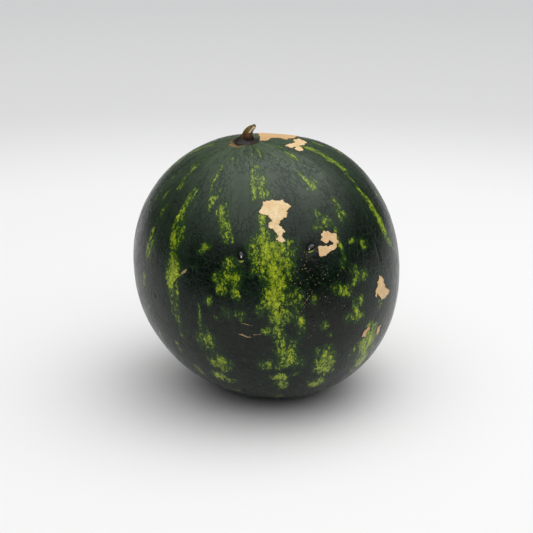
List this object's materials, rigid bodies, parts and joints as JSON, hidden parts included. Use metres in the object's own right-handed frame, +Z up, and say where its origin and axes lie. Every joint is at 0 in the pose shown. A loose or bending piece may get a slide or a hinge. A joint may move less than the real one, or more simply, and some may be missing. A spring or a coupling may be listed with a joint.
{
  "type": "watermelon",
  "caption": "Whole round watermelon with dark green, faintly striped rind, tan corky scars and a dried stub of stem, resting on a small flat spot.",
  "frame": {"origin": "on the surface that the melon rests on, under the middle of its bounding box", "axes": "+Z up, out of the stem end; +X to the right and +Y to the back, seen from the side with the scars"},
  "size_m": [0.2072, 0.2026, 0.2149],
  "materials": {
    "rind": "smooth waxy rind, dark green with mottled yellow-green stripes and dry tan scars",
    "stalk": "dry, ribbed, dark brown stalk with a pale cut end",
    "sap": "hardened glossy dark sap"
  },
  "bodies": {
    "root": {"fruit": "rind", "stem": "stalk"}
  },
  "joints": []
}
